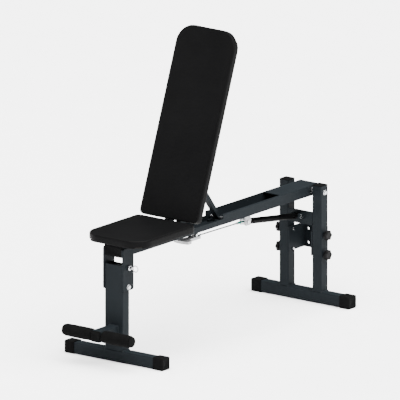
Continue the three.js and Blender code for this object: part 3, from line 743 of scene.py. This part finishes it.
def knob(name, node, body, sign, face, y, z):
    """Boss, skirt and domed grip in one profile, lobed six times, with the stud behind it."""
    turn = np.linspace(0, np.pi / 2, 6)
    dome = np.stack([0.0155 + 0.0035 * np.cos(turn), 0.0165 + 0.0045 * np.sin(turn)], axis=1)
    profile = [(0, 0.0003), (0.0092, 0.0003), (0.0100, 0.001), (0.0105, 0.006), (0.0150, 0.0072),
               (0.0186, 0.0090), *dome, (0.0100, 0.0207), (0.0095, 0.0198), (0, 0.0198)]
    profile = np.array(profile) * (1, sign) + (0, face)
    grip = turned(name, profile, "x", (0, y, z), sides=96, lobes=LOBES, lobe_depth=LOBE_DEPTH)
    settle(grip, body, "knob_plastic", knob_plastic, node)
    reach = sorted((face - sign * STUD_LENGTH, face + sign * 0.001))
    stud = turned(name + "_stud", rounded(STUD_RADIUS, *reach, 0.0008), "x", (0, y, z), sides=32)
    settle(stud, body, "zinc_steel", zinc)


_, post_high, _ = span("rear_post_right")
for side, sign in (("left", -1), ("right", 1)):
    for level in ("lower", "upper"):
        _, y, z = joint(f"knob_{side}_{level}_turn")["pos_m"]
        knob(f"knob_{side}_{level}", f"clamp_knob_{side}_{level}", f"knob_{side}_{level}", sign,
             sign * post_high[0], y, z)


# %% [markdown]
# ## Bolts and pins
# Each bolt has a washer and a chamfered hexagon at both ends: the head on one side, the nut on the
# other. A hexagon could be extruded and bevelled, but a turned profile of six sides gives both, and
# the same function with more sides gives the washer.

# %% Bolts
BOLT_RADIUS, WASHER_RADIUS, HEAD_RADIUS = 0.0057, 0.0092, 0.0080
WASHER_GAP, WASHER_TOP = 0.0001, 0.0016
HEAD_CROWN = [(0, 0), (HEAD_RADIUS, 0), (HEAD_RADIUS, 0.0034), (0.0070, 0.0042), (0.0042, 0.0044),
              (0, 0.0044)]


def hex_bolt(name, node, body, outer):
    """Washers and heads outside both faces, and the shank between them."""
    _, _, middle = span(node)
    centre = (0, middle[1], middle[2])
    reach = outer + 0.001
    shank = turned(name + "_shank", rounded(BOLT_RADIUS, -reach, reach, 0.0004), "x", centre)
    settle(shank, body, "zinc_steel", zinc, node)
    for side, sign in (("left", -1), ("right", 1)):
        faces = sorted((sign * (outer + WASHER_GAP), sign * (outer + WASHER_TOP)))
        ring = rounded(WASHER_RADIUS, *faces, 0.0004, 3)
        washer = turned(f"{name}_washer_{side}", ring, "x", centre, sides=48)
        settle(washer, body, "zinc_steel", zinc)
        crown = np.array(HEAD_CROWN) * (1, sign) + (0, sign * (outer + WASHER_TOP))
        head = turned(f"{name}_head_{side}", crown, "x", centre, sides=6)
        settle(head, body, "zinc_steel", zinc)


_, ear_high, _ = span("post_ear_right")
_, beam_high, _ = span("main_beam")
hex_bolt("leg_bolt", "ear_bolt", "frame", ear_high[0])
hex_bolt("back_bolt", "back_pivot_bolt", "frame", beam_high[0])
hex_bolt("stand_bolt", "beam_bolt", "rear_stand", post_high[0])


# %% [markdown]
# The lock pin is pulled by a ring. The ring is a circle carried along a circle, and the pin itself
# is turned: a bullet nose that finds the holes, the shank, and a collar that stops on the ear.

# %% Lock pin
low, high, middle = span("lock_pin")
RING_RADIUS, RING_WIRE = 0.011, 0.0019
ring_x = high[0] - RING_RADIUS - 0.002
ear_x = ear_high[0]
nose = [(0, low[0]), (0.003, low[0] + 0.0004), (BOLT_RADIUS, low[0] + 0.005)]
collar = [(BOLT_RADIUS, ear_x + 0.0004), (0.0085, ear_x + 0.0004), (0.009, ear_x + 0.001),
          (0.009, ear_x + 0.0074), (0.0082, ear_x + 0.008), (BOLT_RADIUS, ear_x + 0.0082)]
tail = [(BOLT_RADIUS, ring_x - 0.0128), (0.0048, ring_x - 0.0095), (0, ring_x - 0.009)]
pin = turned("quick_pin", [*nose, *collar, *tail], "x", (0, middle[1], middle[2]))
settle(pin, "lock_pin", "zinc_steel", zinc, "lock_pin")
angle = np.linspace(0, 2 * np.pi, 64, endpoint=False)
circle = np.stack([ring_x + RING_RADIUS * np.cos(angle), np.full(angle.size, middle[1]),
                   middle[2] + RING_RADIUS * np.sin(angle)], axis=1)
ring_grid = tube_grid(circle, RING_WIRE, closed=True, reference=(0, 1, 0))
settle(several("pull_ring", ring_grid[None], wrap_rows=True), "lock_pin", "zinc_steel", zinc)


# %% [markdown]
# ## The gas spring
# The pressure tube is a smooth black cylinder whose ends are rolled in, with a groove near its neck.
# Its eye is a short ring on the rear pin. Both are made level and then leaned onto the slide's axis.

# %% Gas spring tube and its eye
slide = np.array(joint("spring_stroke")["axis"])
front_pivot = np.array(joint("spring_tilt")["pos_m"])
LEAN = math.atan2(slide[2], slide[1])
# From the front pin to the rear pin, with the rear stand at rest.
SPRING_LENGTH = 0.30194
TUBE_RADIUS, TUBE_START = 0.0109, 0.030


def along_spring(points):
    """Leans points modelled along +Y over to the gas spring's axis, from its front pivot."""
    return leaned(points, LEAN, front_pivot)


tube_end = SPRING_LENGTH - 0.014
neck = [(0, TUBE_START), (0.0056, TUBE_START), (0.0056, 0.026), (0.0085, 0.026), (0.0102, 0.0272),
        (TUBE_RADIUS, 0.0295), (TUBE_RADIUS, 0.0330)]
groove = [(0.0101, 0.0336), (0.0101, 0.0352), (TUBE_RADIUS, 0.0358)]
rolled_end = [(TUBE_RADIUS, tube_end - 0.005), (0.0100, tube_end - 0.0012), (0.0080, tube_end),
              (0, tube_end)]
tube_points = turned_grid([*neck, *groove, *rolled_end], "y", (0, 0, 0))
spring_tube = several("spring_tube", along_spring(tube_points)[None])
settle(spring_tube, "spring_cylinder", "spring_black", spring_paint, "spring_cylinder")
eye_section = [(0.0066, -0.0080), (0.0098, -0.0080), (0.0104, -0.0074), (0.0104, 0.0074), (0.0098, 0.0080),
               (0.0066, 0.0080)]
eye = turned_grid(eye_section, "x", (0, SPRING_LENGTH, 0), sides=40)
spring_eye = several("spring_eye", along_spring(eye)[None], wrap_rows=True)
settle(spring_eye, "spring_cylinder", "spring_black", spring_paint)


# %% [markdown]
# ## The release cable
# A Bowden cable runs from the lever's arm to the fitting on the spring head. Its route is the CAD's
# own list of points. Two ferrules end its jacket. A bevelled curve would do as well; with an array, a
# ferrule is simply the first or the last stretch of the same route with a larger radius.

# %% Cable
# The CAD lists its points from the front crossbar; the shared frame is centred this much behind it.
LENGTHWISE = 0.506
CABLE_RADIUS, FERRULE_RADIUS, FERRULE_POINTS = 0.0023, 0.0031, 7
CABLE_POINTS = np.array([[0, 0.4686, 0.357], [0, 0.5, 0.357], [0, 0.55, 0.3564], [0, 0.6, 0.3558],
                         [0, 0.65, 0.355], [0, 0.686, 0.3544]]) - [0, LENGTHWISE, 0]


def cord(name, line, radius, sides):
    """A round section carried along a line of points, closed at both ends."""
    return several(name, closed_ends(tube_grid(line, radius, sides=sides, reference=(1, 0, 0)))[None])


fine = np.linspace(0, len(CABLE_POINTS) - 1, 61)
knots = np.arange(len(CABLE_POINTS))
route = np.stack([np.interp(fine, knots, CABLE_POINTS[:, i]) for i in range(3)], axis=1)
settle(cord("cable", route, CABLE_RADIUS, 16), "frame", "cable_jacket", cable_jacket, "release_cable")
for end, line in (("front", route[:FERRULE_POINTS]), ("rear", route[-FERRULE_POINTS:])):
    settle(cord(f"cable_ferrule_{end}", line, FERRULE_RADIUS, 20), "frame", "zinc_steel", zinc)


# %% [markdown]
# ## Welds
# Welded joints show a rippled bead in the corner. Each bead is a thin tube along the joint whose
# radius ripples with the distance travelled, as the welder's steady dabs do. A bump in the paint could
# hint at it, but only a solid bead breaks the straight line of the corner.

# %% Weld beads
BEAD_RADIUS, BEAD_WAVE, BEAD_PITCH, BEAD_STEP = 0.0024, 0.12, 0.0032, 0.0009
OFF_FACE = 0.0002


def bead(name, corners, body, closed=False):
    """A tube along straight runs between the corners; its radius waves by about an eighth of itself."""
    corners = np.asarray(corners, float)
    loop = np.concatenate([corners, corners[:1]]) if closed else corners
    run = np.concatenate([[0], np.cumsum(np.linalg.norm(np.diff(loop, axis=0), axis=1))])
    at = np.linspace(0, run[-1], int(run[-1] / BEAD_STEP) + 2, endpoint=not closed)
    path = np.stack([np.interp(at, run, loop[:, i]) for i in range(3)], axis=1)
    wave = BEAD_RADIUS * (1 + BEAD_WAVE * np.sin(2 * np.pi * at / BEAD_PITCH))
    grid = tube_grid(path, wave, sides=8, closed=closed)
    piece = several(name, (grid if closed else closed_ends(grid))[None], wrap_rows=closed)
    return settle(piece, body, "powder_coat", weld_paint)


def foot_weld(name, node, body):
    """Beads along both sides of a post's foot, where it stands on its crossbar."""
    low, high, _ = span(node)
    z = low[2] + OFF_FACE
    for side, x in (("near", low[0]), ("far", high[0])):
        bead(f"{name}_{side}", [(x, low[1], z), (x, high[1], z)], body)


foot_weld("weld_front_post", "front_post", "frame")
foot_weld("weld_left_post", "rear_post_left", "rear_stand")
foot_weld("weld_right_post", "rear_post_right", "rear_stand")

arm_low, arm_high, _ = span("foot_arm")
arm_corners = CORNER_SIGNS * (arm_high - arm_low)[[0, 2]] / 2 + (arm_high + arm_low)[[0, 2]] / 2
arm_end = np.full(len(CORNER_SIGNS), arm_high[1] - OFF_FACE)
bead("weld_foot_arm", np.column_stack([arm_corners[:, 0], arm_end, arm_corners[:, 1]]), "frame", closed=True)


def upright_weld(name, x, y, low_z, high_z, body):
    """A bead that climbs straight up."""
    bead(name, [(x, y, low_z), (x, y, high_z)], body)


beam_low, beam_high, _ = span("main_beam")
for side, sign in (("left", -1), ("right", 1)):
    low, high, _ = span(f"post_ear_{side}")
    x = sign * (beam_high[0] + OFF_FACE)
    upright_weld(f"weld_ear_{side}", x, low[1], beam_low[2] + 0.003, high[2] - 0.003, "frame")
    upright_weld(f"weld_ear_rear_{side}", x, high[1], beam_low[2] + 0.003, high[2] - 0.006, "frame")
low, high, _ = span("spring_cross_plate")
for side, x in (("left", low[0]), ("right", high[0])):
    upright_weld(f"weld_cross_plate_{side}", x, high[1], low[2] + 0.003, high[2] - 0.003, "rear_stand")


# %% [markdown]
# ## Fixing screws
# The pads are screwed to their plates from behind. Each screw is a low dome with a round socket, set
# near the corners of its plate. One turned profile goes over the dome and down into the socket, so
# nothing has to be cut out, and the screws of one pad share a mesh.

# %% Screws under the pads
SCREW_DOME = [(0, 0), (0.0055, 0), (0.0058, 0.0004), (0.0054, 0.0016), (0.0040, 0.0028), (0.0026, 0.0033)]
SCREW_SOCKET = [(0.0022, 0.0030), (0.0021, 0.0012), (0, 0.0012)]
# The backrest's screws are placed with it lying flat, as distances from its pivot.
BACK_PLATE_UNDER = 0.0203
BACK_ROWS = ((0.12, 0.085), (0.43, 0.065))
FROM_EDGE = 0.015


def screw_grid(x, y, z):
    """A button head that hangs down: a dome, then the straight wall and floor of the socket."""
    profile = np.array([*SCREW_DOME, *SCREW_SOCKET]) * (1, -1) + (0, z)
    return turned_grid(profile, "z", (x, y, 0), sides=24)


screws = [screw_grid(x, y, BACK_PLATE_UNDER) for y, reach in BACK_ROWS for x in (-reach, reach)]
back_screws = several("back_screws", turned_up(screws))
settle(back_screws, "backrest", "zinc_steel", zinc)
seat_screws = []
for end in ("front", "rear"):
    low, high, middle = span(f"seat_support_{end}")
    seat_screws += [screw_grid(x, middle[1], low[2]) for x in (low[0] + FROM_EDGE, high[0] - FROM_EDGE)]
settle(several("seat_screws", seat_screws), "frame", "zinc_steel", zinc)


# %% [markdown]
# ## Floor and light
# The bench stands on a plain white floor. One very soft sun from high on the right makes the tops
# lightest and the faces towards the foot end darkest; the floor throws the rest of the light back up.
# The sky is kept dim, because black vinyl seen at a low angle mirrors whatever stands behind it. A
# panel at the left gives the pads' round edges a line of light.

# %% Stage
FLOOR_HALF = 40.0
floor_points = np.column_stack([CORNER_SIGNS * FLOOR_HALF, np.zeros(4)])
floor = add_mesh("floor", floor_points, [(0, 1, 2, 3)], smooth=False)
pale, *_ = finish("pale_floor", (0.88, 0.88, 0.88), (0.90, 0.90, 0.90), (0.85, 0.95), 40, 0.02, 0.001)
floor.data.materials.append(pale)


def add_light(name, kind, place, aim, power, **settings):
    """A light at a place, turned towards the point it aims at."""
    data = bpy.data.lights.new(name, kind)
    data.energy = power
    for key, value in settings.items():
        setattr(data, key, value)
    light = bpy.data.objects.new(name, data)
    way = Vector(aim) - Vector(place)
    light.matrix_world = Matrix.Translation(place) @ way.to_track_quat("-Z", "Y").to_matrix().to_4x4()
    bpy.context.collection.objects.link(light)
    return light


MIDDLE = (0, 0, 0.5)
add_light("sun", "SUN", (1.4, -0.3, 5.0), MIDDLE, 21.0, angle=1.5)
add_light("edge_panel", "AREA", (-3.0, -1.0, 1.6), MIDDLE, 60.0, size=1.5)
world = bpy.data.worlds.new("studio")
bpy.context.scene.world = world
world.use_nodes = True
world.node_tree.nodes["Background"].inputs["Color"].default_value = (1, 1, 1, 1)
world.node_tree.nodes["Background"].inputs["Strength"].default_value = 0.15
